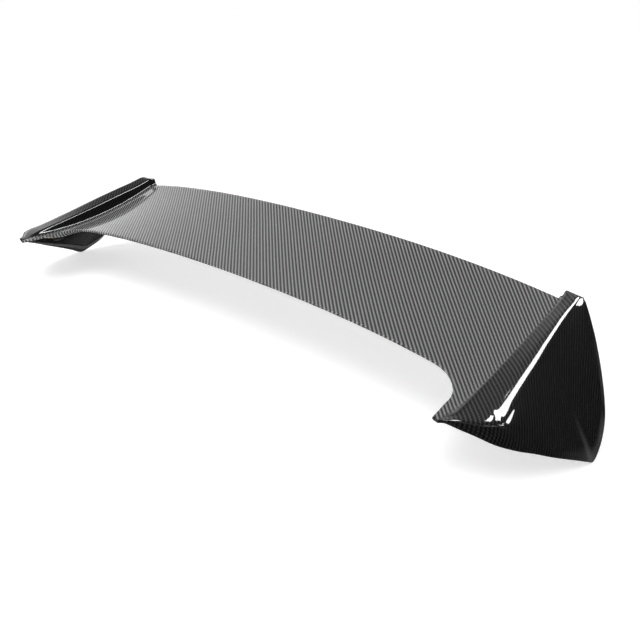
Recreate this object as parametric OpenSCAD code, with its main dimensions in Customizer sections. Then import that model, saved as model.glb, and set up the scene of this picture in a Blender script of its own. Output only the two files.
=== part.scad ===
// Rear roof wing for a hatchback, moulded in carbon twill over a foam core.
// One arched blade runs between two fences, and each fence runs down into a side fin that leans out.
// +X is to the side, +Y to the rear and +Z up; the origin is under the middle, level with the fins' corners.

/* [Blade] */
// Width of the blade between the feet of the two fences
blade_w = 1000; // [800:10:1240]
// Depth of the blade from leading to trailing edge at its ends
chord = 243; // [200:1:300]
// Height of the trailing edge at the middle, above the fins' lower corners
te_h = 204; // [190:1:250]
// Height of the leading edge at the middle, above the fins' lower corners
le_h = 143; // [130:1:165]
// How far the trailing edge falls from the middle to the ends
te_arch = 35; // [10:1:45]
// How far the leading edge falls from the middle to the ends
le_arch = 33; // [10:1:40]
// How far the leading edge bows back at the middle
le_bow = 12; // [0:1:40]
// How far the trailing edge bows forward at the middle
te_bow = 5; // [0:1:20]
// Hollow of the top surface below its chord line at the middle
sag_mid = 4; // [0:0.5:8]
// Hollow of the top surface below its chord line at the ends
sag_end = 10; // [0:0.5:12]
// Greatest thickness of the blade
blade_t = 14; // [10:0.5:20]
// Thickness of the blade's rounded edges
edge_t = 5; // [4:0.5:8]

/* [Legs] */
// How far the legs reach forward of the leading edge
leg_reach = 101; // [70:1:130]
// Width of a leg's flat top at its root, inside the fence
leg_w = 13; // [8:1:30]
// How much the leg's inner edge closes towards its tip
leg_taper = 5; // [1:1:7]
// Radius of the cut-out between the leading edge and a leg
cut_r = 60; // [30:1:90]

/* [Fins] */
// How far the fences run on behind the trailing edge
tail = 4; // [3:1:20]
// How far a fin's lower corner stands out from the fence's foot
fin_spread = 137; // [110:1:190]
// Width of a fence's base step, from its foot to its inner top edge
fence_step = 11; // [8:1:16]
// Greatest height of the fence over the blade
fence_h = 22; // [16:1:32]
// Width of the fence's top, at its rear end
fence_w = 23; // [18:1:32]
// Extra width of the fence's top, at its front end
fence_flare = 20; // [8:1:28]
// Width of the band that rolls under along a fin's lower edges
roll_w = 18; // [10:1:26]
// Thickness of a fin's blunt lower edge
fin_edge_t = 6; // [5:0.5:9]

/* [Laminate and core] */
// Thickness of each carbon skin
skin_t = 1.2; // [0.8:0.1:1.6]
// Width of the solid filler inside each edge
filler_w = 14; // [8:1:20]
// Width of the spar, front to back
spar_w = 24; // [12:1:40]
// Distance from the trailing edge to the spar's centre
spar_back = 150; // [130:1:165]
// Thickness of the ribs
rib_t = 3; // [2:0.5:6]
// Share of the half width at which the side ribs stand
rib_at = 0.5; // [0.4:0.05:0.6]

/* [Mounting] */
// Radius of the hole tapped M6 in each insert
tap_r = 2.5; // [2:0.25:3]
// Depth of the tapped hole
tap_depth = 12; // [8:1:13]
// Outer radius of an insert's barrel
insert_r = 5; // [4.5:0.25:6]
// Radius of an insert's inner flange
flange_r = 7.5; // [7:0.5:9]
// Thickness of an insert's inner flange
flange_t = 1.5; // [1:0.5:3]
// Length of a mount plate, front to back
plate_l = 44; // [36:1:60]
// Width of a mount plate
plate_w = 22; // [20:1:26]
// Thickness of a mount plate
plate_t = 3; // [2:0.5:4]
// Outer radius of a sealing washer
washer_r = 11; // [8:0.5:13]
// Thickness of a sealing washer
washer_t = 2.5; // [1.5:0.5:4]
// Place of the front mount, as a share of the fin's depth
front_at = 0.31; // [0.28:0.01:0.36]
// Place of the rear mount, as a share of the fin's depth
rear_at = 0.68; // [0.62:0.01:0.72]
// Place of the mounts across the inner face, from its top to its lower edge
mount_across = 0.42; // [0.35:0.01:0.5]
// Thickness of the foam seal strips on the inner faces
seal_t = 1.5; // [1:0.5:4]

/* [Hidden] */

half_w = blade_w / 2;
depth = leg_reach + chord + tail;
y_tip = -depth / 2;
y_back = depth / 2;
y_te = y_back - tail;
y_le = y_te - chord;
edge_r = edge_t / 2;
cut_x = half_w - leg_w - cut_r;
leg_x = half_w - leg_w;
rib_x = half_w * rib_at;
y_spar = y_te - spar_back;
washer_lift = 0.3;
plate_gap = 1.2;

// Shares of each arch that fall close to the ends
te_late = 0.24;
le_late = 0.78;
// Lengths over which the blade thickens behind its leading edge and ahead of its trailing edge
nose_run = 60;
tail_run = 140;
// Shares of an inner face's width between which its seal strip lies
SEAL_FROM = 0.8;
SEAL_TO = 0.9;

// A curve through hand-set points [t, value], with slopes taken from their neighbours
function segment(p, t, i = 0) = i >= len(p) - 2 || t < p[i + 1][0] ? i : segment(p, t, i + 1);
function slope_at(p, i) =
    let (a = max(i - 1, 0), b = min(i + 1, len(p) - 1)) (p[b][1] - p[a][1]) / (p[b][0] - p[a][0]);
function curve(p, t) =
    let (i = segment(p, t), w = p[i + 1][0] - p[i][0], u = (t - p[i][0]) / w,
         a = slope_at(p, i) * w, b = slope_at(p, i + 1) * w, rise = p[i + 1][1] - p[i][1])
    p[i][1] + u * (a + u * ((3 * rise - 2 * a - b) + u * (a + b - 2 * rise)));

// Points along a rounded corner b between a and c, leaving each leg at distance r from b
function unit(v) = v / norm(v);
function rounded(a, b, c, r, n) =
    let (p = b + unit(a - b) * min(r, 0.45 * norm(a - b)), q = b + unit(c - b) * min(r, 0.45 * norm(c - b)))
    [for (i = [0 : n - 1]) let (u = i / (n - 1)) (1 - u) * (1 - u) * p + 2 * u * (1 - u) * b + u * u * q];
function backwards(list) = [for (i = [len(list) - 1 : -1 : 0]) list[i]];
function steps(a, b, n) = [for (i = [0 : n]) a + (b - a) * i / n];

// Triangles that fill a ring whose two sides run on from points i and j, always across the shorter gap
function filled(p, i, j) = j - i < 2 ? []
    : norm(p[i + 1] - p[j]) < norm(p[i] - p[j - 1])
        ? concat([[i, i + 1, j]], filled(p, i + 1, j)) : concat([[i, j - 1, j]], filled(p, i, j - 1));

// A solid through closed rings of points, each quad split along its shorter diagonal
module loft(rings) {
    n = len(rings[0]);
    last = (len(rings) - 1) * n;
    points = [for (ring = rings) each ring];
    sides = [for (i = [0 : len(rings) - 2], j = [0 : n - 1])
        let (a = i * n + j, b = i * n + (j + 1) % n, c = b + n, d = a + n)
        each norm(points[a] - points[c]) < norm(points[b] - points[d]) - 0.00001
            ? [[a, b, c], [a, c, d]] : [[a, b, d], [b, c, d]]];
    first_end = [for (t = filled(rings[0], 0, n - 1)) [t[2], t[1], t[0]]];
    last_end = [for (t = filled(rings[len(rings) - 1], 0, n - 1)) t + [last, last, last]];
    polyhedron(points, concat(sides, first_end, last_end), convexity = 6);
}

// ---- The blade's surfaces ----

function share(x) = abs(x) / half_w;
function fall(x, drop, late) = drop * ((1 - late) * pow(share(x), 2) + late * pow(share(x), 4));
function plain_le(x) = y_le + le_bow * pow(max(1 - pow(share(x), 2), 0), 3);
function back_y(x) = y_te - te_bow * (1 - pow(share(x), 2));
function front_y(x) =
    let (a = abs(x), run = a - cut_x)
    a <= cut_x ? plain_le(x) : plain_le(x) - cut_r + sqrt(max(cut_r * cut_r - run * run, 0));

// Height of the blade's top, and of the flat leg tops ahead of its leading edge
function top_z(x, y) =
    let (front = le_h - fall(x, le_arch, le_late), back = te_h - fall(x, te_arch, te_late),
         run = back_y(x) - plain_le(x), v = (y - plain_le(x)) / run,
         sag = sag_mid + (sag_end - sag_mid) * pow(share(x), 2), slope = (back - front - 4 * sag) / run,
         ahead = min(plain_le(x) - y, leg_reach))
    v >= 0 ? front + (back - front) * v - 4 * sag * v * (1 - v)
    : front - slope * (ahead - ahead * ahead / (2 * leg_reach));

function swell(u) = let (w = min(max(u, 0), 1)) w * (2 - w);
function thick(x, y) = edge_t + (blade_t - edge_t)
    * swell((y - front_y(x) - edge_r) / nose_run) * swell((back_y(x) - edge_r - y) / tail_run);
function under_z(x, y) = top_z(x, y) - thick(x, y);

// Chordwise stations, cut where the fillers and the spar meet the core
function y_first(x) = front_y(x) + edge_r;
function y_last(x) = back_y(x) - edge_r;
function y_fill_front(x) = y_first(x) + filler_w;
function y_fill_back(x) = y_last(x) - filler_w;
FRONT_STEPS = 4;
BACK_STEPS = 5;
function chord_stations(x) = concat(
    [y_first(x)],
    steps(y_fill_front(x), y_spar - spar_w / 2, FRONT_STEPS),
    steps(y_spar + spar_w / 2, y_fill_back(x), BACK_STEPS),
    [y_last(x)]);
I_FILL = 1;
I_SPAR = I_FILL + FRONT_STEPS;
I_REAR = I_SPAR + 1;
I_TAIL = I_REAR + BACK_STEPS;
I_LAST = I_TAIL + 1;

function top_line(x, d, from, to) =
    let (s = chord_stations(x)) [for (i = [from : to]) [x, s[i], top_z(x, s[i]) - d]];
function under_line(x, d, from, to) =
    let (s = chord_stations(x)) [for (i = [from : to]) [x, s[i], under_z(x, s[i]) + d]];
// Half circle round an edge, from the top surface to the under surface; side is -1 in front and 1 behind
function nose(x, y, d, side) =
    let (r = edge_r - d, z = top_z(x, y) - edge_r)
    [for (a = [45, 90, 135]) [x, y + side * r * sin(a), z + r * cos(a)]];

// Closed ring of everything between two chordwise stations, d below the surfaces
function bay_ring(x, d, from, to) = concat(top_line(x, d, from, to), backwards(under_line(x, d, from, to)));
// The upper skin's path, from the trailing edge forward and round the nose of the leading edge
function wrap_path(x, d) = concat(
    backwards(top_line(x, d, 0, I_LAST)),
    nose(x, y_first(x), d, -1), [[x, y_first(x), top_z(x, y_first(x)) - edge_t + d]]);

// Spanwise stations of the right half; the left half mirrors them
X_INNER = steps(rib_t / 2, rib_x - rib_t / 2, 4);
X_CUT = [for (a = [15, 29, 43, 57]) cut_x + cut_r * sin(a)];
X_OUTER = concat(steps(rib_x + rib_t / 2, cut_x, 4), X_CUT, [leg_x - rib_t]);
X_RIGHT = concat(X_INNER, X_OUTER, [leg_x]);
X_ALL = concat(-backwards(X_RIGHT), X_RIGHT);
X_CORE = concat(-backwards(concat(X_INNER, X_OUTER)), X_INNER, X_OUTER);

module blade_piece(stations, from, to) {
    loft([for (x = stations) backwards(bay_ring(x, skin_t, from, to))]);
}

module rib(x) {
    blade_piece([x - rib_t / 2, x + rib_t / 2], I_FILL, I_SPAR);
    blade_piece([x - rib_t / 2, x + rib_t / 2], I_REAR, I_TAIL);
}

module upper_skin() {
    color("dimgray")
        loft([for (x = X_ALL) backwards(concat(wrap_path(x, 0), backwards(wrap_path(x, skin_t))))]);
}

module lower_skin() {
    color("#2a2a2c") loft([for (x = X_ALL)
        backwards(concat(under_line(x, skin_t, 0, I_LAST), backwards(under_line(x, 0, 0, I_LAST))))]);
}

module leading_edge_filler() {
    color("#3a3a3c") loft([for (x = X_CORE)
        backwards(concat(backwards(top_line(x, skin_t, 0, I_FILL)), nose(x, y_first(x), skin_t, -1),
                         under_line(x, skin_t, 0, I_FILL)))]);
}

module trailing_edge_filler() {
    color("#3a3a3c") loft([for (x = X_CORE)
        concat(top_line(x, skin_t, I_TAIL, I_LAST), nose(x, y_last(x), 0, 1),
               backwards(under_line(x, skin_t, I_TAIL, I_LAST)))]);
}

module spar() {
    color("#202022") blade_piece(X_CORE, I_SPAR, I_REAR);
}

// ---- The fins ----
// Each line of a fin is set by hand as [share of the depth from the tip, share of a driving size]

FENCE_RISE = [[0, 0.02], [0.06, 0.06], [0.15, 0.4], [0.36, 0.82], [0.55, 1], [0.73, 0.98], [0.88, 0.8],
              [0.96, 0.72], [1, 0.52]];
RIDGE_OUT = [[0, -1.3], [0.05, -0.6], [0.08, 0.2], [0.11, 0.78], [0.14, 0.94], [0.18, 0.87], [0.26, 0.73],
             [0.36, 0.58], [0.6, 0.3], [0.85, 0], [1, -0.05]];
RIDGE_RISE = [[0, 0.1], [0.07, 0.03], [0.125, -0.08], [0.2, -0.08], [0.36, 0.1], [0.6, 0.3], [0.85, 0.3],
              [0.95, 0.18], [1, -0.2]];
EDGE_OUT = [[0, 0.06], [0.03, 0.17], [0.055, 0.31], [0.09, 0.47], [0.155, 0.61], [0.24, 0.71], [0.34, 0.82],
            [0.45, 0.92], [0.54, 0.985], [0.6, 1], [0.67, 0.985], [0.75, 0.935], [0.8, 0.87], [0.865, 0.737],
            [0.92, 0.584], [0.95, 0.467], [0.975, 0.34], [1, 0.262]];
EDGE_RISE = [[0, 0.62], [0.03, 0.575], [0.055, 0.54], [0.09, 0.487], [0.155, 0.42], [0.24, 0.342],
             [0.34, 0.244],
             [0.45, 0.143], [0.54, 0.055], [0.6, 0], [0.67, 0.05], [0.75, 0.145], [0.8, 0.275],
             [0.865, 0.468], [0.92, 0.675], [0.95, 0.83], [0.975, 0.975], [1, 1.02]];

end_h = te_h - te_arch;
function depth_y(s) = y_tip + s * depth;
function foot_z(s) = top_z(half_w, depth_y(s));
function root_t(s) = thick(leg_x, min(depth_y(s), y_last(leg_x)));
function root_z(s) = foot_z(s) - root_t(s);
function root_x(s) = leg_x + leg_taper * max(0, 1 - s * depth / (leg_reach - cut_r));
function edge_x(s) = half_w + fin_spread * curve(EDGE_OUT, s);
function edge_z(s) = end_h * curve(EDGE_RISE, s);
function crest_z(s) = foot_z(s) + fence_h * curve(FENCE_RISE, s);
function small(s) = min(1, (edge_x(s) - half_w) / 60);
function ridge(s) =
    [half_w + fence_step + fence_w + fence_flare * curve(RIDGE_OUT, s),
     crest_z(s) + fence_h * curve(RIDGE_RISE, s)];

// Corners of a fin's section, as [x, z]: foot, crest, ridge, start of the roll, and lower edge
function foot_corner(s) = [half_w + 5 * small(s), foot_z(s)];
function crest_corner(s) = [half_w + fence_step * small(s), crest_z(s)];
function edge_corner(s) = [edge_x(s), edge_z(s)];
// The ridge is rounder towards the nose
function ridge_r(s) = 20 - 17 * s;
function roll_corner(s) =
    let (e = edge_corner(s), r = ridge(s),
         steep = (edge_z(min(s + 0.01, 1)) - edge_z(s - 0.01)) / (0.02 * depth),
         lift = min(roll_w * sqrt(1 + steep * steep) / norm(r - e), 0.45))
    e + (r - e) * lift + unit([r[1] - e[1], e[0] - r[0]]) * 4 * small(s);
function inner_corner(s) = [half_w + 12 * small(s), root_z(s)];
function lip_corner(s) = edge_corner(s) - [fin_edge_t * small(s), -0.5];

function outer_path(s) =
    let (root = [root_x(s), top_z(root_x(s), depth_y(s))], a = foot_corner(s), b = crest_corner(s),
         c = ridge(s), d = roll_corner(s), e = edge_corner(s),
         crown = c + (d - c) * 0.45 + unit([c[1] - d[1], d[0] - c[0]]) * 1.5)
    concat([root], rounded(root, a, b, 5, 3), rounded(a, b, c, 3, 3), rounded(b, c, d, ridge_r(s), 4),
           [crown], rounded(c, d, e, 10, 3), [e]);
function inner_path(s) =
    let (root = [root_x(s), top_z(root_x(s), depth_y(s)) - root_t(s)],
         q = inner_corner(s), lip = lip_corner(s))
    concat([root], rounded(root, q, lip, 10, 3), [q + (lip - q) * 0.4, q + (lip - q) * 0.75, lip]);

// A path moved d to its right, in the plane of the section
function shifted(p, d) = [for (i = [0 : len(p) - 1])
    let (t = unit(p[min(i + 1, len(p) - 1)] - p[max(i - 1, 0)])) p[i] + [t[1], -t[0]] * d];
function with_ends(p, x, e) = concat([[x, p[0][1]]], [for (i = [1 : len(p) - 2]) p[i]], [e]);
function skin_at(s) = skin_t * max(small(s), 0.4);
function edge_inset(a, b, s) = a + unit(b - a) * min(skin_at(s) * 1.2, 0.3 * norm(b - a));
function inside_outer(s) = with_ends(shifted(outer_path(s), skin_at(s)), root_x(s),
                                     edge_inset(edge_corner(s), lip_corner(s), s));
function inside_inner(s) = with_ends(shifted(inner_path(s), -skin_at(s)), root_x(s),
                                     edge_inset(lip_corner(s), edge_corner(s), s));
function at_y(p, s) = [for (q = p) [q[0], depth_y(s), q[1]]];

S_FIN = [0, 0.012, 0.03, 0.052, 0.075, 0.1, 0.125, 0.17, 0.22, 0.28, 0.34, 0.4, 0.46, 0.52, 0.565, 0.6,
                0.64, 0.68, 0.72, 0.76, 0.8, 0.835, 0.865, 0.895, 0.92, 0.945, 0.97];
S_CAP = [S_FIN[len(S_FIN) - 1], 0.985, 1];
CORE_FROM = 6;
S_TIP = [for (i = [0 : CORE_FROM]) S_FIN[i]];
S_CORE = [for (i = [CORE_FROM : len(S_FIN) - 1]) S_FIN[i]];
// The last points of the outer and inner paths that the core reaches, before the edge filler
OUTER_N = len(outer_path(0.5)) - 4;
INNER_N = len(inner_path(0.5)) - 2;

function ring_between(a, b, s) = at_y(concat(a, backwards(b)), s);
function up_to(p, i) = [for (j = [0 : i]) p[j]];
function beyond(p, i) = [for (j = [i : len(p) - 1]) p[j]];

module on_side(side) {
    if (side < 0) mirror([1, 0, 0]) children();
    else children();
}

module fin_outer_skin(side) {
    color("#1c1c1e") on_side(side) loft([for (s = S_FIN) ring_between(outer_path(s), inside_outer(s), s)]);
}

module fin_inner_skin(side) {
    color("#151516") on_side(side) difference() {
        loft([for (s = S_FIN) ring_between(inside_inner(s), inner_path(s), s)]);
        for (at = [front_at, rear_at]) at_mount(at) barrel();
    }
}

module fin_core(side) {
    color("tan") on_side(side) difference() {
        loft([for (s = S_CORE)
            ring_between(up_to(inside_outer(s), OUTER_N), up_to(inside_inner(s), INNER_N), s)]);
        for (at = [front_at, rear_at]) at_mount(at) {
            barrel();
            flange();
            plate_blank();
        }
    }
}

module fin_edge_filler(side) {
    color("#3a3a3c") on_side(side) loft([for (s = S_CORE)
        ring_between(beyond(inside_outer(s), OUTER_N), beyond(inside_inner(s), INNER_N), s)]);
}

module tip_block(side) {
    color("#3a3a3c") on_side(side) loft([for (s = S_TIP) ring_between(inside_outer(s), inside_inner(s), s)]);
}

module end_cap(side) {
    color("#1c1c1e") on_side(side) loft([for (s = S_CAP) ring_between(outer_path(s), inner_path(s), s)]);
}

module seal_strip(side) {
    color("#4a4a4a") on_side(side) loft([for (s = [for (i = [6 : 20]) S_FIN[i]])
        let (q = inner_corner(s), lip = lip_corner(s),
             a = q + (lip - q) * SEAL_FROM, b = q + (lip - q) * SEAL_TO,
             out = unit([lip[1] - q[1], q[0] - lip[0]]) * seal_t)
        at_y([a, a + out, b + out, b], s)]);
}

// ---- Mounting hardware, set square to the inner face ----

function inner_point(s, q) =
    let (a = inner_corner(s), b = lip_corner(s), p = a + (b - a) * q) [p[0], depth_y(s), p[1]];
function face_normal(s, q) =
    let (across = inner_point(s, q + 0.05) - inner_point(s, q - 0.05),
         along = inner_point(s + 0.02, q) - inner_point(s - 0.02, q)) unit(cross(along, across));

module at_mount(at) {
    p = inner_point(at, mount_across);
    n = face_normal(at, mount_across);
    translate(p) rotate([0, acos(n[2]), atan2(n[1], n[0])]) children();
}

// Everything here stands on the inner face at the origin, with +Z out of the fin
mouth = washer_lift + washer_t;
plate_back = skin_t + plate_gap + plate_t;

module barrel() {
    translate([0, 0, mouth - tap_depth - 2]) cylinder(r = insert_r, h = tap_depth + 2, $fn = 48);
}

module flange() {
    translate([0, 0, -plate_back - flange_t]) cylinder(r = flange_r, h = flange_t, $fn = 48);
}

module plate_blank() {
    translate([-plate_w / 2, -plate_l / 2, -plate_back]) cube([plate_w, plate_l, plate_t]);
}

module mount_plate(side, at) {
    color("silver") on_side(side) at_mount(at) difference() {
        plate_blank();
        barrel();
    }
}

module threaded_inserts() {
    color("gainsboro")
    for (side = [-1, 1], at = [front_at, rear_at]) on_side(side) at_mount(at) difference() {
        union() {
            barrel();
            flange();
        }
        translate([0, 0, mouth - tap_depth]) cylinder(r = tap_r, h = tap_depth + 1, $fn = 48);
    }
}

module sealing_washers() {
    color("#111111")
    for (side = [-1, 1], at = [front_at, rear_at]) on_side(side) at_mount(at) difference() {
        translate([0, 0, washer_lift]) cylinder(r = washer_r, h = washer_t, $fn = 48);
        translate([0, 0, -1]) cylinder(r = insert_r, h = mouth + 2, $fn = 48);
    }
}

// ---- Core bays, named from the left end to the right end ----

module core_bay(stations, from, to) {
    color("tan") blade_piece(stations, from, to);
}

module root_rib(side) {
    color("#202022") on_side(side) blade_piece([leg_x - rib_t, leg_x], 0, I_LAST);
}

upper_skin();
lower_skin();
leading_edge_filler();
trailing_edge_filler();
spar();
core_bay(-backwards(X_OUTER), I_FILL, I_SPAR);  // left_outer_front_core
core_bay(-backwards(X_INNER), I_FILL, I_SPAR);  // left_inner_front_core
core_bay(X_INNER, I_FILL, I_SPAR);  // right_inner_front_core
core_bay(X_OUTER, I_FILL, I_SPAR);  // right_outer_front_core
core_bay(-backwards(X_OUTER), I_REAR, I_TAIL);  // left_outer_rear_core
core_bay(-backwards(X_INNER), I_REAR, I_TAIL);  // left_inner_rear_core
core_bay(X_INNER, I_REAR, I_TAIL);  // right_inner_rear_core
core_bay(X_OUTER, I_REAR, I_TAIL);  // right_outer_rear_core
color("#202022") rib(0);  // middle_rib
color("#202022") rib(-rib_x);  // left_rib
color("#202022") rib(rib_x);  // right_rib
root_rib(-1);  // left_root_rib
root_rib(1);  // right_root_rib
fin_outer_skin(-1);  // left_fin_outer_skin
fin_outer_skin(1);  // right_fin_outer_skin
fin_inner_skin(-1);  // left_fin_inner_skin
fin_inner_skin(1);  // right_fin_inner_skin
fin_core(-1);  // left_fin_core
fin_core(1);  // right_fin_core
fin_edge_filler(-1);  // left_fin_edge_filler
fin_edge_filler(1);  // right_fin_edge_filler
tip_block(-1);  // left_tip_block
tip_block(1);  // right_tip_block
end_cap(-1);  // left_end_cap
end_cap(1);  // right_end_cap
mount_plate(-1, front_at);  // left_front_plate
mount_plate(1, front_at);  // right_front_plate
mount_plate(-1, rear_at);  // left_rear_plate
mount_plate(1, rear_at);  // right_rear_plate
seal_strip(-1);  // left_seal_strip
seal_strip(1);  // right_seal_strip
threaded_inserts();
sealing_washers();
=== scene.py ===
import math

import bpy
import numpy as np
from mathutils import Matrix, Vector


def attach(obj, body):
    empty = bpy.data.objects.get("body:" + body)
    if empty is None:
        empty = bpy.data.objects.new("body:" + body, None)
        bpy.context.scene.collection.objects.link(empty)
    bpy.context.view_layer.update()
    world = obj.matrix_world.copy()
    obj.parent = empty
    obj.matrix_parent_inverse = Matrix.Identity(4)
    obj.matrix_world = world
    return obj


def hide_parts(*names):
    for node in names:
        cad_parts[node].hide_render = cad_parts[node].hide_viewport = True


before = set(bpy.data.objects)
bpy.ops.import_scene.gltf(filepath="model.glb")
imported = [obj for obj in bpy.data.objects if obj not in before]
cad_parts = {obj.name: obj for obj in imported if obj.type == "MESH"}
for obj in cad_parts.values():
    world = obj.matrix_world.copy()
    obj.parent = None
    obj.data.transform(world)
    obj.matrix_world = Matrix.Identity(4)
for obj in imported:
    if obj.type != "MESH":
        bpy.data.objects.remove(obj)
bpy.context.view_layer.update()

bl_info = {
    "name": "Hatchback rear wing",
    "version": (1, 0, 0),
    "blender": (4, 5, 0),
    "location": "3D View > Sidebar > Rear wing",
    "description": "Builds a clear-coated carbon rear wing and the studio it stands in",
    "category": "Object",
}

MM = 0.001


# ---- Sizes and colours a user would change ----

def length(name, description, default):
    """A length in metres, given here in millimetres."""
    return bpy.props.FloatProperty(
        name=name, description=description, default=default * MM, unit="LENGTH", precision=4
    )


def colour(name, description, default):
    return bpy.props.FloatVectorProperty(
        name=name, description=description, default=default, subtype="COLOR", size=3, min=0, max=1
    )


def number(name, description, default):
    return bpy.props.FloatProperty(name=name, description=description, default=default)


class WingSizes(bpy.types.PropertyGroup):
    """Sizes of the blade and the fins"""
    blade_w: length("Blade width", "Width of the blade between the feet of the fences", 1000)
    le_y: length("Leading edge", "Depth position of the leading edge at the blade's ends", -73)
    te_y: length("Trailing edge", "Depth position of the trailing edge at the blade's ends", 170)
    tip_y: length("Front", "Depth position of the legs' front ends", -174)
    depth: length("Depth", "Whole depth of the wing", 348)
    te_h: length("Trailing edge height", "Height of the trailing edge at the middle", 204)
    le_h: length("Leading edge height", "Height of the leading edge at the middle", 143)
    te_arch: length("Trailing edge arch", "Fall of the trailing edge to its ends", 35)
    le_arch: length("Leading edge arch", "Fall of the leading edge to its ends", 33)
    le_bow: length("Leading edge bow", "How far the leading edge bows back at the middle", 12)
    te_bow: length("Trailing edge bow", "How far the trailing edge bows forward at the middle", 5)
    sag_mid: length("Sag at the middle", "Hollow of the blade's top at the middle", 4)
    sag_end: length("Sag at the ends", "Hollow of the blade's top at its ends", 10)
    blade_t: length("Blade thickness", "Thickest part of the blade", 14)
    edge_t: length("Edge thickness", "Thickness of the blade's edges", 5)
    cut_x: length("Cut-out start", "Where the corner of the front cut-out starts", 427)
    cut_r: length("Cut-out radius", "Radius of the front cut-out's corners", 60)
    leg_taper: length("Leg taper", "How much each leg narrows to the front", 5)
    fin_spread: length("Fin spread", "How far each fin reaches past the blade's end", 137)
    fence_step: length("Fence lean", "Lean of the fence's inner wall", 11)
    fence_h: length("Fence height", "Tallest part of the fence", 22)
    fence_w: length("Fence width", "Width of the fence's sloping top", 23)
    fence_flare: length("Fence flare", "Extra width of the fence's top at its front", 20)
    roll_w: length("Roll width", "Width of the roll along the fin's lower edge", 18)
    fin_edge_t: length("Fin edge thickness", "Thickness of the fin's lower edge", 6)


class WingFinish(bpy.types.PropertyGroup):
    """Colours and scale of the finishes"""
    tow: length("Tow width", "Width of one tow of the twill", 2)
    warp: colour("Warp", "Colour of the tows that lie along the car", (0.066, 0.066, 0.068))
    # The weft's light grey is painted sheen: it stands in for the light the tows across the car catch, which
    # makes them look lighter than the warp
    weft_with_sheen: colour("Weft", "Colour of the tows that lie across the car", (0.400, 0.400, 0.405))
    resin: colour("Resin", "Colour of the clear resin between the tows", (0.004, 0.004, 0.004))
    foam: colour("Foam", "Colour of the foam core", (0.62, 0.47, 0.27))
    filler: colour("Filler", "Colour of the resin filler", (0.05, 0.047, 0.045))
    aluminium: colour("Aluminium", "Colour of the backing plates", (0.72, 0.73, 0.74))
    steel: colour("Steel", "Colour of the plated inserts", (0.62, 0.60, 0.52))
    rubber: colour("Rubber", "Colour of the sealing washers", (0.018, 0.018, 0.019))
    seal: colour("Seal foam", "Colour of the seal strips", (0.055, 0.055, 0.058))


class StudioSettings(bpy.types.PropertyGroup):
    """The floor, the lights and the camera"""
    lens: number("Lens", "Focal length in millimetres on a 36 mm sensor", 39.06)
    camera_at: bpy.props.FloatVectorProperty(
        name="Camera place", description="Where the camera stands", size=3,
        default=(0.85159, -0.8352, 0.56246), subtype="TRANSLATION", unit="LENGTH")
    heading: bpy.props.FloatProperty(
        name="Heading", description="Turn of the camera about the vertical",
        default=math.radians(39.507), subtype="ANGLE")
    dip: bpy.props.FloatProperty(
        name="Dip", description="How far the camera looks down",
        default=math.radians(24.082), subtype="ANGLE")
    tilt: bpy.props.FloatProperty(
        name="Tilt", description="Turn of the camera about its own axis",
        default=math.radians(-2.057), subtype="ANGLE")
    floor: colour("Floor", "Colour of the floor", (0.93, 0.93, 0.93))
    softbox: number("Softbox", "Power of the softbox over the right-hand fin in watts", 105)
    strip: number("Strip", "Power of the strip light over the left-hand fin in watts", 50)
    side_light: number("Side light", "Strength of the even light from the left", 1.4)
    top_light: number("Top light", "Strength of the even light from above", 1.25)


# ---- Lines and surfaces ----

def curve(points):
    """A smooth curve through given (place, value) points, as a function of the place."""
    t, v = np.array(points, float).T
    slope = np.empty_like(v)
    slope[1:-1] = (v[2:] - v[:-2]) / (t[2:] - t[:-2])
    slope[0], slope[-1] = (v[1] - v[0]) / (t[1] - t[0]), (v[-1] - v[-2]) / (t[-1] - t[-2])

    def at(s):
        i = np.clip(np.searchsorted(t, s, side="right") - 1, 0, len(t) - 2)
        w = t[i + 1] - t[i]
        u = (s - t[i]) / w
        a, b, rise = slope[i] * w, slope[i + 1] * w, v[i + 1] - v[i]
        return v[i] + u * (a + u * ((3 * rise - 2 * a - b) + u * (a + b - 2 * rise)))

    return at


FENCE_RISE = curve([(0, .02), (.06, .06), (.15, .4), (.36, .82), (.55, 1), (.73, .98), (.88, .8), (.96, .72),
                    (1, .52)])
RIDGE_OUT = curve([(0, -1.3), (.05, -.6), (.08, .2), (.11, .78), (.14, .94), (.18, .87), (.26, .73),
                   (.36, .58), (.6, .3), (.85, 0), (1, -.05)])
RIDGE_RISE = curve([(0, .1), (.07, .03), (.125, -.08), (.2, -.08), (.36, .1), (.6, .3), (.85, .3), (.95, .18),
                    (1, -.2)])
EDGE_OUT = curve([(0, .06), (.03, .17), (.055, .31), (.09, .47), (.155, .61), (.24, .71), (.34, .82),
                  (.45, .92), (.54, .985), (.6, 1), (.67, .985), (.75, .935), (.8, .87), (.865, .737),
                  (.92, .584), (.95, .467), (.975, .34), (1, .262)])
EDGE_RISE = curve([(0, .62), (.03, .575), (.055, .54), (.09, .487), (.155, .42), (.24, .342), (.34, .244),
                   (.45, .143), (.54, .055), (.6, 0), (.67, .05), (.75, .145), (.8, .275), (.865, .468),
                   (.92, .675), (.95, .83), (.975, .975), (1, 1.02)])
NOSE_RUN, TAIL_RUN = 60 * MM, 140 * MM
TE_LATE, LE_LATE = 0.24, 0.78
LEG_X = 487 * MM
LEG_REACH = 101 * MM

# The fin's smaller details, which shrink with it where it reaches out less than NOSE_FADE
NOSE_FADE = 60 * MM
FOOT_RUN, FOOT_R, CREST_R = 5 * MM, 5 * MM, 4 * MM
RIDGE_R_FRONT, RIDGE_R_BACK = 20 * MM, 3 * MM
ROLL_R, ROLL_PROUD = 10 * MM, 4 * MM
LIP_R, LIP_RISE = 1.3 * MM, 0.5 * MM
INNER_RUN, INNER_R = 12 * MM, 10 * MM
END_BEVEL = 0.8 * MM


def unit(v):
    return v / max(np.linalg.norm(v), 1e-12)


def swell(u):
    w = np.clip(u, 0, 1)
    return w * (2 - w)


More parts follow.
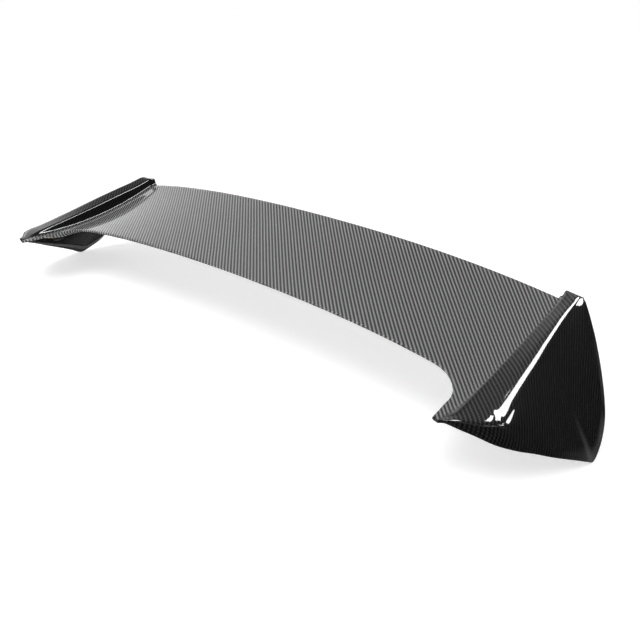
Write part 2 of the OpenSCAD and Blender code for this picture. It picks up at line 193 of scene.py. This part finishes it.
class Shape:
    """The wing's surfaces, worked out from its sizes in metres."""

    def __init__(self, sizes):
        self.d = sizes
        self.half_w = sizes.blade_w / 2
        self.edge_r = sizes.edge_t / 2

    def fall(self, x, drop, late):
        share = np.abs(x) / self.half_w
        return drop * ((1 - late) * share**2 + late * share**4)

    def plain_le(self, x):
        return self.d.le_y + self.d.le_bow * np.maximum(1 - (x / self.half_w) ** 2, 0) ** 3

    def back_y(self, x):
        return self.d.te_y - self.d.te_bow * (1 - (x / self.half_w) ** 2)

    def front_y(self, x):
        run = np.maximum(np.abs(x) - self.d.cut_x, 0)
        arc = np.sqrt(np.maximum(self.d.cut_r**2 - run**2, 0))
        return self.plain_le(x) - np.where(run > 0, self.d.cut_r - arc, 0)

    def top_z(self, x, y):
        front = self.d.le_h - self.fall(x, self.d.le_arch, LE_LATE)
        back = self.d.te_h - self.fall(x, self.d.te_arch, TE_LATE)
        run = self.back_y(x) - self.plain_le(x)
        v = (y - self.plain_le(x)) / run
        sag = self.d.sag_mid + (self.d.sag_end - self.d.sag_mid) * (x / self.half_w) ** 2
        slope = (back - front - 4 * sag) / run
        ahead = np.clip(self.plain_le(x) - y, 0, LEG_REACH)
        blade = front + (back - front) * v - 4 * sag * v * (1 - v)
        return np.where(v >= 0, blade, front - slope * (ahead - ahead**2 / (2 * LEG_REACH)))

    def thick(self, x, y):
        x = np.minimum(np.abs(x), LEG_X)
        return self.d.edge_t + (self.d.blade_t - self.d.edge_t) * (
            swell((y - self.front_y(x) - self.edge_r) / NOSE_RUN)
            * swell((self.back_y(x) - self.edge_r - y) / TAIL_RUN))

    # Corners of a fin's section at a share s of the depth, as (x, z)

    def depth_y(self, s):
        return self.d.tip_y + s * self.d.depth

    def root_x(self, s):
        return LEG_X + self.d.leg_taper * max(0, 1 - s * self.d.depth / (LEG_REACH - self.d.cut_r))

    def edge_z(self, s):
        return (self.d.te_h - self.d.te_arch) * EDGE_RISE(s)

    def section(self, s):
        """The closed corner line of a fin's section, as (corner, rounding radius).

        It runs from the foot of the fence round the lower edge to the blade's under side.
        """
        d, y = self.d, self.depth_y(s)
        edge_x = self.half_w + d.fin_spread * EDGE_OUT(s)
        small = min(1, (edge_x - self.half_w) / NOSE_FADE)
        foot_z = self.top_z(self.half_w, y)
        root_z = foot_z - self.thick(LEG_X, min(y, self.back_y(LEG_X) - self.edge_r))
        crest_z = foot_z + d.fence_h * FENCE_RISE(s)
        foot = np.array([self.half_w + FOOT_RUN * small, foot_z])
        crest = np.array([self.half_w + d.fence_step * small, crest_z])
        ridge = np.array([self.half_w + d.fence_step + d.fence_w + d.fence_flare * RIDGE_OUT(s),
                          crest_z + d.fence_h * RIDGE_RISE(s)])
        edge = np.array([edge_x, self.edge_z(s)])
        steep = (self.edge_z(min(s + .01, 1)) - self.edge_z(s - .01)) / (.02 * d.depth)
        lift = min(d.roll_w * math.sqrt(1 + steep**2) / np.linalg.norm(ridge - edge), LEG_SHARE)
        outward = unit(np.array([ridge[1] - edge[1], edge[0] - ridge[0]]))
        roll = edge + (ridge - edge) * lift + outward * ROLL_PROUD * small
        lip = edge - np.array([d.fin_edge_t * small, -LIP_RISE])
        inner = np.array([self.half_w + INNER_RUN * small, root_z])
        start, end = np.array([self.half_w, foot_z]), np.array([self.half_w, root_z])
        ridge_r = RIDGE_R_FRONT + (RIDGE_R_BACK - RIDGE_R_FRONT) * s
        return [(start, 0), (foot, FOOT_R * small), (crest, CREST_R * small), (ridge, ridge_r),
                (roll, ROLL_R), (edge, LIP_R * small), (lip, LIP_R * small), (inner, INNER_R), (end, 0)]


# Steps round each corner of a fin's section and along each leg between two corners
CORNER_STEPS = [0, 6, 6, 20, 10, 4, 4, 6, 0]
LEG_STEPS = [1, 5, 12, 26, 8, 2, 26, 3]

# The outer side face swells a little between the ridge and the roll
CROWN_LEG, CROWN = 3, 1.5 * MM

# The most of a leg that the rounding of a corner may take
LEG_SHARE = 0.45


def corner_line(corners):
    """Points along a line of corners, each rounded by a curve that starts at its radius from the corner."""
    points, places = [corners[0][0]], [p for p, _ in corners]
    for i in range(1, len(corners)):
        b, r = corners[i]
        a, last = places[i - 1], i == len(corners) - 1
        share = 1 if i == 1 else LEG_SHARE
        start = b if last else b + unit(a - b) * min(r, share * np.linalg.norm(a - b))
        n, before = LEG_STEPS[i - 1], points[-1]
        across = unit(np.array([before[1] - start[1], start[0] - before[0]]))
        for k in range(1, n + 1):
            u = k / n
            crown = 4 * CROWN * u * (1 - u) if i - 1 == CROWN_LEG else 0
            points.append(before + (start - before) * u + across * crown)
        if not last:
            c = places[i + 1]
            end = b + unit(c - b) * min(r, LEG_SHARE * np.linalg.norm(c - b))
            for k in range(1, CORNER_STEPS[i] + 1):
                u = k / CORNER_STEPS[i]
                points.append((1 - u) ** 2 * start + 2 * u * (1 - u) * b + u * u * end)
    return np.array(points)


def inset(ring, by):
    """A closed line of points moved inwards."""
    along = np.roll(ring, -1, axis=0) - np.roll(ring, 1, axis=0)
    along /= np.maximum(np.linalg.norm(along, axis=1, keepdims=True), 1e-9)
    return ring + np.stack([along[:, 1], -along[:, 0]], axis=1) * by


# ---- Meshes ----

MERGE_WITHIN = 0.001 * MM
SMOOTH_BELOW = 40


def deselect():
    if bpy.context.object and bpy.context.object.mode != "OBJECT":
        bpy.ops.object.mode_set(mode="OBJECT")
    bpy.ops.object.select_all(action="DESELECT")


def wrapped_grid(name, rings, uvs, painted_shades=None):
    """A grid bent through rings of points, closed round each ring and filled at both ends.

    The painted shades give, for each point of a ring, how far its colour is darkened towards the resin
    colour.
    """
    columns, rows = rings.shape[:2]
    deselect()
    bpy.ops.mesh.primitive_grid_add(
        x_subdivisions=columns - 1, y_subdivisions=rows, size=2, location=(0, 0, 0))
    piece = bpy.context.object
    piece.name = piece.data.name = name
    mesh = piece.data
    flat = np.empty(len(mesh.vertices) * 3)
    mesh.vertices.foreach_get("co", flat)
    flat = flat.reshape(-1, 3)
    i = np.rint((flat[:, 0] + 1) / 2 * (columns - 1)).astype(int)
    j = np.rint((flat[:, 1] + 1) / 2 * rows).astype(int)
    closed = np.concatenate([rings, rings[:, :1]], axis=1)
    mesh.vertices.foreach_set("co", closed[i, j].ravel())
    corner = np.empty(len(mesh.loops), int)
    mesh.loops.foreach_get("vertex_index", corner)
    layer = mesh.uv_layers[0] if mesh.uv_layers else mesh.uv_layers.new()
    layer.name = "Cloth"
    layer.data.foreach_set("uv", uvs[i, j][corner].ravel())
    # The painted shade of each point, kept in the mesh attribute named depth
    depth = mesh.attributes.new("depth", "FLOAT", "POINT")
    rows_painted_shade = np.zeros(rows + 1) if painted_shades is None else np.append(painted_shades, painted_shades[0])
    depth.data.foreach_set("value", rows_painted_shade[j])
    mesh.update()
    bpy.ops.object.mode_set(mode="EDIT")
    bpy.ops.mesh.select_all(action="SELECT")
    bpy.ops.mesh.remove_doubles(threshold=MERGE_WITHIN)
    bpy.ops.mesh.select_all(action="SELECT")
    bpy.ops.mesh.fill_holes(sides=0)
    bpy.ops.mesh.select_all(action="SELECT")
    bpy.ops.mesh.quads_convert_to_tris(quad_method="SHORTEST_DIAGONAL", ngon_method="BEAUTY")
    bpy.ops.mesh.normals_make_consistent(inside=False)
    bpy.ops.object.mode_set(mode="OBJECT")
    bpy.ops.object.shade_smooth_by_angle(angle=math.radians(SMOOTH_BELOW))
    return piece


BACK_STEPS, EDGE_STEPS, NOSE_STEPS = 56, 6, 8

# Columns along half of the leading edge, in the cut-out's corner, round its arc and down the leg
FRONT_COLUMNS, CORNER_COLUMNS, ARC_COLUMNS, LEG_COLUMNS = 80, 5, 56, 12
TINY = 1e-6


def blade_columns(shape):
    """Where the blade's columns start on its front outline, their way in, and where they end at the back."""
    d, starts = shape.d, []
    cut_y = d.le_y - d.cut_r
    tail_y = shape.back_y(shape.half_w) - shape.edge_r
    for x in np.linspace(0, d.cut_x, FRONT_COLUMNS):
        h = 0.1 * MM
        slope = (shape.plain_le(x + h) - shape.plain_le(x - h)) / (2 * h)
        way = unit(np.array([-slope, 1.0]))
        starts.append(((x, shape.plain_le(x)), way, (x, shape.back_y(x) - shape.edge_r)))
    corner = math.degrees(math.atan2(shape.half_w - d.cut_x, tail_y - cut_y))
    for a in [*np.linspace(0, corner, CORNER_COLUMNS)[1:], *np.linspace(corner, 90, ARC_COLUMNS)[1:]]:
        way = np.array([math.sin(math.radians(a)), math.cos(math.radians(a))])
        p = np.array([d.cut_x, cut_y]) + way * d.cut_r
        p[1] = shape.front_y(min(p[0], LEG_X)) if a < 89.9 else cut_y
        if a <= corner + TINY:
            x = p[0] + way[0] / way[1] * (tail_y - p[1])
            end = (min(x, shape.half_w), shape.back_y(min(x, shape.half_w)) - shape.edge_r)
        else:
            end = (shape.half_w, p[1] + way[1] / way[0] * (shape.half_w - p[0]))
        starts.append((tuple(p), way, end))
    for y in np.linspace(cut_y, d.tip_y, LEG_COLUMNS)[1:]:
        x = shape.root_x((y - d.tip_y) / d.depth)
        starts.append(((x, y), np.array([1.0, 0.0]), (shape.half_w, y)))
    return starts


def blade_ring(shape, start, way, end):
    """One closed ring of the blade.

    It goes round the front edge, back over the top, round the tail and forward underneath.
    """
    start, end, r = np.array(start), np.array(end), shape.edge_r
    inner = start + way * r
    edge = [math.pi / 2 * k / EDGE_STEPS for k in range(EDGE_STEPS + 1)]
    round_top = [(start + way * r * (1 - math.sin(a)), r * (1 - math.cos(a))) for a in edge[::-1]]
    top = [(*p, float(shape.top_z(p[0], p[1])) - drop) for p, drop in round_top]
    steps = [(k / BACK_STEPS) ** 1.3 for k in range(1, BACK_STEPS + 1)]
    over = [inner + (end - inner) * u for u in steps]
    top += [(*p, float(shape.top_z(p[0], p[1]))) for p in over]
    z = float(shape.top_z(end[0], end[1]))
    tail_y = shape.back_y(end[0]) - r
    under_t = float(shape.thick(end[0], end[1])) if end[1] < tail_y - TINY else 2 * r
    tail = []
    for k in range(1, NOSE_STEPS):
        a = math.pi * k / NOSE_STEPS
        if end[1] < tail_y - TINY:
            tail.append((end[0], end[1], z - under_t * k / NOSE_STEPS))
        else:
            tail.append((end[0], end[1] + r * math.sin(a), z - r + r * math.cos(a)))
    under = [(*p, float(shape.top_z(p[0], p[1])) - max(float(shape.thick(p[0], p[1])), 2 * r))
             for p in ([inner] + over)[::-1]]
    under[0] = (end[0], end[1], z - under_t)
    low = [(*p, float(shape.top_z(p[0], p[1])) - 2 * r + drop) for p, drop in round_top[::-1][1:-1]]
    return top + tail + under + low


def blade_mesh(shape):
    """The whole blade with its two legs, as one closed shell."""
    right = blade_columns(shape)
    half = np.array([blade_ring(shape, *column) for column in right])
    left = half[:0:-1].copy()
    left[:, :, 0] *= -1
    rings = np.concatenate([left, half])
    uvs = np.concatenate([rings, rings[:, :1]], axis=1)[:, :, :2]
    return wrapped_grid("blade", rings, uvs)


# Painted shade on a fin, from 0 for the cloth's own colour to 1 for nearly the resin's black
FOOT_PAINTED_SHADE, INNER_PAINTED_SHADE, TOP_PAINTED_SHADE, FLANK_PAINTED_SHADE = 0.3, 0.97, 0.82, 0.96


def painted_shade_round_fin():
    """Painted shade round a fin's section: darkest on the fence's inner wall and on the fin's inner face."""
    corners = np.cumsum([0] + [a + b for a, b in zip(LEG_STEPS, CORNER_STEPS[1:])])
    place = np.arange(corners[-1] + 1)
    start, foot, crest, ridge, _, edge, lip, _, end = corners
    stops = [(start, 0), (foot - CORNER_STEPS[1], FOOT_PAINTED_SHADE), (foot, INNER_PAINTED_SHADE), (crest - 3, INNER_PAINTED_SHADE),
             (crest + 2, TOP_PAINTED_SHADE), (ridge - 8, TOP_PAINTED_SHADE), (ridge, FLANK_PAINTED_SHADE), (edge, FLANK_PAINTED_SHADE),
             (lip + 2, INNER_PAINTED_SHADE), (end, INNER_PAINTED_SHADE)]
    return np.interp(place, *zip(*stops))


FIN_STATIONS = 300

# Where a fin's stations are closer together, as (extra density, place, width of the place)
DENSE_PLACES = ((4, 0.09, 0.07), (3, 1, 0.05))


def fin_stations():
    """Shares of the depth at which a fin is drawn, closer together where its lines turn quickly."""
    s = np.linspace(0, 1, 4001)
    density = 1 + sum(extra * np.exp(-((s - at) / width) ** 2) for extra, at, width in DENSE_PLACES)
    total = np.cumsum(density)
    return np.interp(np.linspace(total[0], total[-1], FIN_STATIONS), total, s)


def fin_mesh(shape, side):
    """One fin with its fence, as one closed shell; side is 1 on the right and -1 on the left."""
    stations, rings, uvs = fin_stations(), [], []
    for s in stations:
        line = corner_line(shape.section(s))
        small = min(1, float(line[:, 0].max() - shape.half_w) / NOSE_FADE)
        y = float(shape.depth_y(s))
        bevel = END_BEVEL * small
        run = min(y - shape.d.tip_y, shape.d.tip_y + shape.d.depth - y)
        by = 0
        if bevel > 0 and run < bevel:
            by = bevel - math.sqrt(max(bevel**2 - (bevel - run) ** 2, 0))
        drawn = inset(line, by)
        drawn[0, 0] = drawn[-1, 0] = shape.half_w
        path = np.concatenate([[0], np.cumsum(np.linalg.norm(np.diff(line, axis=0), axis=1))])
        rings.append([(side * x, y, z) for x, z in drawn])
        row = [(side * (shape.half_w + u), y) for u in path]
        uvs.append(row + [row[-1]])
    name = ("right" if side > 0 else "left") + "_fin"
    return wrapped_grid(name, np.array(rings), np.array(uvs), painted_shade_round_fin())


# ---- Materials ----

class Wire:
    """One output of a shader node, so that shader maths is written as an expression."""

    def __init__(self, tree, socket):
        self.tree, self.socket = tree, socket

    def node(self, kind, settings=None, inputs=None, output=0):
        """Another node: its settings first, then the values or links of its sockets."""
        made = self.tree.nodes.new(kind)
        for key, value in (settings or {}).items():
            setattr(made, key, value)
        for key, value in (inputs or {}).items():
            if isinstance(value, Wire):
                self.tree.links.new(value.socket, made.inputs[key])
            else:
                made.inputs[key].default_value = value
        return Wire(self.tree, made.outputs[output])

    def maths(self, operation, *values):
        return self.node("ShaderNodeMath", {"operation": operation}, dict(enumerate(values)))

    def __add__(self, other):
        return self.maths("ADD", self, other)

    def __sub__(self, other):
        return self.maths("SUBTRACT", self, other)

    def __rsub__(self, other):
        return self.maths("SUBTRACT", other, self)

    def __mul__(self, other):
        return self.maths("MULTIPLY", self, other)

    def __truediv__(self, other):
        return self.maths("DIVIDE", self, other)

    def __pow__(self, other):
        return self.maths("POWER", self, other)

    def __mod__(self, other):
        return self.maths("FLOORED_MODULO", self, other)

    def __lt__(self, other):
        return self.maths("LESS_THAN", self, other)

    __radd__, __rmul__ = __add__, __mul__

    def fract(self):
        return self.maths("FRACT", self)

    def floor(self):
        return self.maths("FLOOR", self)

    def clamp(self):
        return self.node("ShaderNodeClamp", None, {0: self})

    def split(self):
        """The three parts of a vector."""
        parts = self.node("ShaderNodeSeparateXYZ", None, {0: self}).socket.node
        return [Wire(self.tree, out) for out in parts.outputs]

    def joined(self, y, z=0):
        return self.node("ShaderNodeCombineXYZ", None, {0: self, 1: y, 2: z})

    def noise(self, scale, detail=2, roughness=0.5):
        """Even noise from 0 to 1 over this vector."""
        return self.node("ShaderNodeTexNoise", None,
                         {"Vector": self, "Scale": scale, "Detail": detail, "Roughness": roughness})

    def mix(self, a, b):
        """The colours a and b, mixed by this value."""
        return self.node("ShaderNodeMix", {"data_type": "RGBA"}, {0: self, 6: a, 7: b}, 2)

    def blend(self, a, b):
        """The numbers a and b, mixed by this value."""
        return self.node("ShaderNodeMix", {"data_type": "FLOAT"}, {0: self, 2: a, 3: b})

    def bump(self, strength, distance):
        return self.node("ShaderNodeBump", None,
                         {"Strength": strength, "Distance": distance, "Height": self})


def rgba(value):
    return (*value, 1)


def made_material(name, build, **constants):
    """A material whose surface comes from build(place, cloth), which gives the linked sockets."""
    material = bpy.data.materials.new(name)
    material.use_nodes = True
    tree = material.node_tree
    tree.nodes.clear()
    output = tree.nodes.new("ShaderNodeOutputMaterial")
    shader = tree.nodes.new("ShaderNodeBsdfPrincipled")
    tree.links.new(shader.outputs[0], output.inputs[0])
    place = tree.nodes.new("ShaderNodeTexCoord")
    for key, value in constants.items():
        shader.inputs[key.replace("_", " ")].default_value = value
    for key, wire in build(Wire(tree, place.outputs["Object"]), Wire(tree, place.outputs["UV"])).items():
        tree.links.new(wire.socket, shader.inputs[key])
    return material


def twill_material(name, finish):
    """Clear-coated 2x2 twill: each tow goes over two and under two, one step on in each row."""

    def build(place, cloth):
        # depth is the painted shade kept on a fin's points; it darkens the tows towards the resin colour
        depth = cloth.node("ShaderNodeAttribute", {"attribute_name": "depth"}, output="Fac")
        sway = (place.noise(7.0, 2) - 0.5) * 0.5
        u, v, _ = cloth.split()
        u, v = u / finish.tow + sway, v / finish.tow + sway * 0.7
        along_warp, along_weft = (u.floor() + v) % 4.0, (v.floor() + u) % 4.0
        warp_up = along_warp < 2.0
        over_warp = (1.0 - (u.fract() * 2.0 - 1.0) ** 2.0) * (1.0 - (along_warp - 1.0) ** 2.0)
        over_weft = (1.0 - (v.fract() * 2.0 - 1.0) ** 2.0) * (1.0 - (along_weft - 3.0) ** 2.0)
        height = warp_up.blend(over_weft, over_warp).clamp()
        warp_fibre = (u * 9.0).joined(v * 0.35).noise(1.0, 3, 0.6)
        weft_fibre = (u * 0.35).joined(v * 9.0).noise(1.0, 3, 0.6)
        fibre = warp_up.blend(weft_fibre, warp_fibre)
        batch = place.noise(3.0, 2)
        # Painted shading: each tow is lighter on its crown and darker to its sides, as light falls on it; the
        # fibre streaks and the batch tone are the cloth's own
        tone = (0.62 + 0.55 * height) * (0.55 + 0.9 * fibre) * (0.86 + 0.28 * batch)
        # Painted shade: depth darkens the tow colour towards the resin colour
        # The weft's light grey is painted sheen on the tows that lie across the car
        tow = depth.mix(warp_up.mix(rgba(finish.weft_with_sheen), rgba(finish.warp)), rgba(finish.resin))
        lit = tow.node("ShaderNodeVectorMath", {"operation": "SCALE"}, {0: tow, "Scale": tone})
        groove = (height * 7.0).clamp()
        surface = groove.mix(rgba(finish.resin), lit)
        return {
            "Base Color": surface,
            "Roughness": 0.42 + 0.22 * fibre + 0.06 * batch,
            "Normal": (height + fibre * 0.12).bump(0.35, 0.25 * MM),
        }

    return made_material(name, build, Coat_Weight=1.0, Coat_Roughness=0.025, Coat_IOR=1.52,
                         Specular_IOR_Level=0.03)


def laminate_material(finish):
    """Plain inner laminate with its fibres along the car and a dull resin film."""

    def build(place, cloth):
        x, y, z = place.split()
        fibre = (x * 4000.0).joined(y * 60.0, z * 2500.0).noise(1.0, 3, 0.6)
        blotch = place.noise(60.0, 3)
        dark, light = (0.008, 0.008, 0.008, 1), (0.06, 0.06, 0.062, 1)
        return {"Base Color": (fibre * 0.7 + blotch * 0.3).mix(dark, light),
                "Roughness": 0.35 + 0.3 * blotch,
                "Normal": fibre.bump(0.25, 0.1 * MM)}

    return made_material("inner_laminate", build)


def foam_material(finish):
    """Closed-cell foam, cut and sanded."""

    def build(place, cloth):
        cell = place.node("ShaderNodeTexVoronoi", None, {"Vector": place, "Scale": 1400.0})
        blotch = place.noise(40.0, 3)
        pit = (cell * 1.4).clamp()
        light, dark = rgba(finish.foam), rgba([c * 0.55 for c in finish.foam])
        return {"Base Color": (pit * 0.7 + blotch * 0.4).clamp().mix(dark, light),
                "Roughness": 0.75 + 0.2 * blotch,
                "Normal": pit.bump(0.5, 0.3 * MM)}

    return made_material("foam_core", build)


def filler_material(finish):
    """Thickened resin with swirls and a few bubbles."""

    def build(place, cloth):
        swirl = place.noise(90.0, 5, 0.65)
        bubble = place.node("ShaderNodeTexVoronoi", None, {"Vector": place, "Scale": 500.0})
        dark, light = (rgba([c * share for c in finish.filler]) for share in (0.5, 1.6))
        return {"Base Color": swirl.mix(dark, light),
                "Roughness": 0.3 + 0.35 * swirl,
                "Normal": (bubble * 3.0).clamp().bump(0.3, 0.2 * MM)}

    return made_material("resin_filler", build)


def metal_material(name, tone, grain, rough):
    """Machined metal with fine tool lines and faint stains."""

    def build(place, cloth):
        x, y, z = place.split()
        lines = (x * grain).joined(y * grain * 0.08, z * grain).noise(1.0, 3, 0.6)
        stain = place.noise(180.0, 4, 0.6)
        return {"Base Color": (0.6 * stain + 0.4 * lines).mix(rgba([c * 0.7 for c in tone]), rgba(tone)),
                "Roughness": rough + 0.2 * lines + 0.12 * stain,
                "Normal": lines.bump(0.15, 0.05 * MM)}

    return made_material(name, build, Metallic=1.0)


def rubber_material(name, tone, grain, rough):
    """Moulded rubber or soft foam with a fine grain and a little dust."""

    def build(place, cloth):
        skin = place.noise(grain, 4, 0.6)
        dust = place.noise(130.0, 4, 0.7)
        dusty = rgba([c * 2.2 + 0.01 for c in tone])
        return {"Base Color": (dust * 1.6 - 0.5).clamp().mix(rgba(tone), dusty),
                "Roughness": rough + 0.2 * skin,
                "Normal": skin.bump(0.4, 0.12 * MM)}

    return made_material(name, build)


def paint(piece, material):
    piece.data.materials.clear()
    piece.data.materials.append(material)


def paint_node(node, material):
    """A CAD node keeps its mesh and takes a new finish in its slots."""
    for slot in node.material_slots:
        slot.link = "OBJECT"
        slot.material = material


# ---- Operators, one for each piece or group of like pieces ----

class MakeBlade(bpy.types.Operator):
    """Make the arched blade with its rounded edges and its two legs"""
    bl_idname = "rear_wing.make_blade"
    bl_label = "Make the blade"

    def execute(self, context):
        finish = context.scene.wing_finish
        piece = blade_mesh(Shape(context.scene.wing_sizes))
        paint(piece, twill_material("blade_twill", finish))
        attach(piece, "root")
        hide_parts("upper_skin", "lower_skin", "trailing_edge_filler", "leading_edge_filler",
                    "left_root_rib", "right_root_rib")
        return {"FINISHED"}


class MakeFins(bpy.types.Operator):
    """Make the two swept fins with their raised fences"""
    bl_idname = "rear_wing.make_fins"
    bl_label = "Make the fins"

    def execute(self, context):
        finish = context.scene.wing_finish
        twill = twill_material("fin_twill", finish)
        for side, word in ((1, "right"), (-1, "left")):
            piece = fin_mesh(Shape(context.scene.wing_sizes), side)
            paint(piece, twill)
            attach(piece, "root")
            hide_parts(*[f"{word}_{part}" for part in (
                "fin_outer_skin", "fin_inner_skin", "fin_edge_filler", "tip_block", "end_cap")])
        return {"FINISHED"}


class FinishCore(bpy.types.Operator):
    """Finish the foam cores, the ribs and the spar inside the wing"""
    bl_idname = "rear_wing.finish_core"
    bl_label = "Finish the core"

    def execute(self, context):
        finish = context.scene.wing_finish
        foam, laminate = foam_material(finish), laminate_material(finish)
        for name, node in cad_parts.items():
            if name.endswith("_core"):
                paint_node(node, foam)
            elif name.endswith("_rib") or name == "spar":
                paint_node(node, laminate)
        return {"FINISHED"}


class FinishHardware(bpy.types.Operator):
    """Finish the fillers, the plates, the inserts, the washers and the seals"""
    bl_idname = "rear_wing.finish_hardware"
    bl_label = "Finish the hardware"

    def execute(self, context):
        finish = context.scene.wing_finish
        filler = filler_material(finish)
        plate = metal_material("brushed_aluminium", finish.aluminium, 900.0, 0.25)
        insert = metal_material("plated_steel", finish.steel, 2500.0, 0.22)
        washer = rubber_material("washer_rubber", finish.rubber, 2600.0, 0.5)
        seal = rubber_material("seal_foam", finish.seal, 1500.0, 0.75)
        for name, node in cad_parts.items():
            if name.endswith("_plate"):
                paint_node(node, plate)
            elif name.endswith("_filler") or name.endswith("_block"):
                paint_node(node, filler)
            elif name.endswith("_strip"):
                paint_node(node, seal)
        paint_node(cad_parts["threaded_inserts"], insert)
        paint_node(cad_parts["sealing_washers"], washer)
        return {"FINISHED"}


def camera_matrix(studio):
    """The camera's place and turn from its heading, dip and tilt."""
    a, e, t = studio.heading, studio.dip, studio.tilt
    ahead = Vector((-math.sin(a) * math.cos(e), math.cos(a) * math.cos(e), -math.sin(e)))
    right = Vector((math.cos(a), math.sin(a), 0))
    down = ahead.cross(right)
    turned_right = right * math.cos(t) + down * math.sin(t)
    turned_down = down * math.cos(t) - right * math.sin(t)
    turn = Matrix((turned_right, -turned_down, -ahead)).transposed().to_4x4()
    return Matrix.Translation(studio.camera_at) @ turn


# Each soft light's place, the point it faces, its width and its height, in metres
SOFTBOX = ((1.408, 2.018, 2.185), (0.418, -0.082, 0.295), 1.65, 1.1)
STRIP = ((1.1, 0.7, 2.58), (-0.52, 0, 0.15), 1.2, 0.5)


def soft_light(name, place, towards, width, height, power):
    """A rectangular light that shows in reflections only."""
    deselect()
    bpy.ops.object.light_add(type="AREA", location=place)
    light = bpy.context.object
    light.name = name
    light.data.shape, light.data.size, light.data.size_y = "RECTANGLE", width, height
    light.data.energy = power
    light.rotation_euler = (Vector(towards) - Vector(place)).to_track_quat("-Z", "Y").to_euler()
    light.visible_camera = light.visible_diffuse = False


def even_light(name, towards, strength, spread, shadow):
    """Even light from one side that doesn't show in reflections; spread is its angle in degrees."""
    deselect()
    bpy.ops.object.light_add(type="SUN")
    light = bpy.context.object
    light.name = name
    light.data.energy, light.data.angle = strength, math.radians(spread)
    light.data.use_shadow = shadow
    light.rotation_euler = Vector(towards).to_track_quat("-Z", "Y").to_euler()
    light.visible_glossy = light.visible_camera = False


def light_world(scene):
    """Even white behind the wing, and for the wing a bright side to the left with a dark one to the right."""
    world = bpy.data.worlds.new("studio")
    scene.world = world
    world.use_nodes = True
    tree = world.node_tree
    tree.nodes.clear()
    output = tree.nodes.new("ShaderNodeOutputWorld")
    way = Wire(tree, tree.nodes.new("ShaderNodeTexCoord").outputs["Generated"])
    x, y, z = way.split()
    left = (0.15 - x * 1.1).clamp()
    low = (1.0 - (z - 0.15) * 1.5).clamp()
    over_horizon = (z * 5.0 + 0.6).clamp()
    above = (z * 1.2 - 0.1).clamp() * (0.4 - x * 0.6).clamp()
    below = (z * -2.2 - 0.1).clamp() * (0.6 + x).clamp()
    side_glow = left * left * low * over_horizon
    level = 0.012 + side_glow * 1.25 + above * 0.25 + below * 0.5
    seen = Wire(tree, tree.nodes.new("ShaderNodeLightPath").outputs["Is Camera Ray"])
    strength = seen.blend(level, 1.0)
    shade = tree.nodes.new("ShaderNodeBackground")
    shade.inputs["Color"].default_value = (1, 1, 1, 1)
    tree.links.new(strength.socket, shade.inputs["Strength"])
    tree.links.new(shade.outputs[0], output.inputs[0])


def floor_material(tone):
    """Matt white paper that glows a little, so that only the wing's shadow shows."""

    def build(place, cloth):
        grain = place.noise(900.0, 3)
        return {"Base Color": grain.mix(rgba([c * 0.99 for c in tone]), rgba(tone)),
                "Roughness": 0.9 + 0.05 * grain}

    return made_material("floor_paper", build, Emission_Color=(1, 1, 1, 1), Emission_Strength=0.4,
                         Specular_IOR_Level=0.0)


FLOOR_W, FLOOR_DROP = 60, 0.5 * MM


class MakeStudio(bpy.types.Operator):
    """Make the floor, the lights and the camera"""
    bl_idname = "rear_wing.make_studio"
    bl_label = "Make the studio"

    def execute(self, context):
        scene, studio = context.scene, context.scene.wing_studio
        deselect()
        bpy.ops.mesh.primitive_plane_add(size=FLOOR_W, location=(0, 0, -FLOOR_DROP))
        floor = bpy.context.object
        floor.name = "floor"
        floor.visible_glossy = False
        paint(floor, floor_material(studio.floor))
        soft_light("softbox_over_fin", *SOFTBOX, studio.softbox)
        soft_light("strip_over_far_fin", *STRIP, studio.strip)
        even_light("side_light", (0.75, 0.2, -0.63), studio.side_light, 20, False)
        even_light("top_light", (-0.2, 0.5, -0.84), studio.top_light, 30, True)
        light_world(scene)
        deselect()
        bpy.ops.object.camera_add()
        camera = bpy.context.object
        camera.name = "camera"
        camera.matrix_world = camera_matrix(studio)
        camera.data.lens, camera.data.sensor_width = studio.lens, 36
        camera.data.clip_start, camera.data.clip_end = 0.01, 200
        scene.camera = camera
        scene.view_settings.view_transform = "Standard"
        return {"FINISHED"}


class WingPanel(bpy.types.Panel):
    """Lists what can be made, and the sizes and colours it is made with"""
    bl_idname = "VIEW3D_PT_rear_wing"
    bl_label = "Rear wing"
    bl_space_type = "VIEW_3D"
    bl_region_type = "UI"
    bl_category = "Rear wing"

    def draw(self, context):
        for maker in MAKERS:
            self.layout.operator(maker.bl_idname)
        for group in (context.scene.wing_sizes, context.scene.wing_finish, context.scene.wing_studio):
            box = self.layout.box()
            for key in group.bl_rna.properties.keys():
                if key not in ("rna_type", "name"):
                    box.prop(group, key)


MAKERS = (MakeBlade, MakeFins, FinishCore, FinishHardware, MakeStudio)
GROUPS = {"wing_sizes": WingSizes, "wing_finish": WingFinish, "wing_studio": StudioSettings}


def register():
    for one in (*GROUPS.values(), *MAKERS, WingPanel):
        bpy.utils.register_class(one)
    for key, group in GROUPS.items():
        setattr(bpy.types.Scene, key, bpy.props.PointerProperty(type=group))


def unregister():
    for key in GROUPS:
        delattr(bpy.types.Scene, key)
    for one in (WingPanel, *reversed(MAKERS), *reversed(list(GROUPS.values()))):
        bpy.utils.unregister_class(one)


def main():
    register()
    bpy.ops.rear_wing.make_blade()
    bpy.ops.rear_wing.make_fins()
    bpy.ops.rear_wing.finish_core()
    bpy.ops.rear_wing.finish_hardware()
    bpy.ops.rear_wing.make_studio()
    deselect()


if __name__ == "__main__":
    main()
